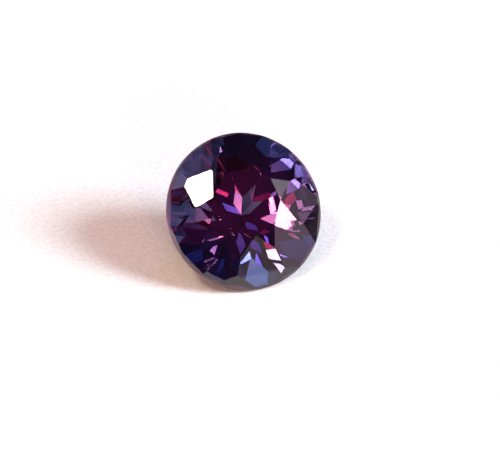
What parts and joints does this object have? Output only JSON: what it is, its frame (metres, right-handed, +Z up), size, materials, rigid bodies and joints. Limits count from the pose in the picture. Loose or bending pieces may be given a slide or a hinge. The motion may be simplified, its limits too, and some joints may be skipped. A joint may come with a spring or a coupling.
{
  "type": "alexandrite gemstone",
  "caption": "Round brilliant-cut alexandrite, a see-through blue-violet stone that lies on one of its lower facets with its table facing up and forward.",
  "frame": {"origin": "on the surface that the stone lies on, under the middle of its bounding box", "axes": "+Z up; the stone's own axis lies in the YZ plane, so the table faces -Y and up, and the facet that the stone lies on faces -Z"},
  "size_m": [0.0064, 0.0048, 0.0048],
  "materials": {
    "alexandrite": "polished facets, clear, deep blue-violet to purplish red"
  },
  "bodies": {
    "root": {"alexandrite": "alexandrite"}
  },
  "joints": []
}
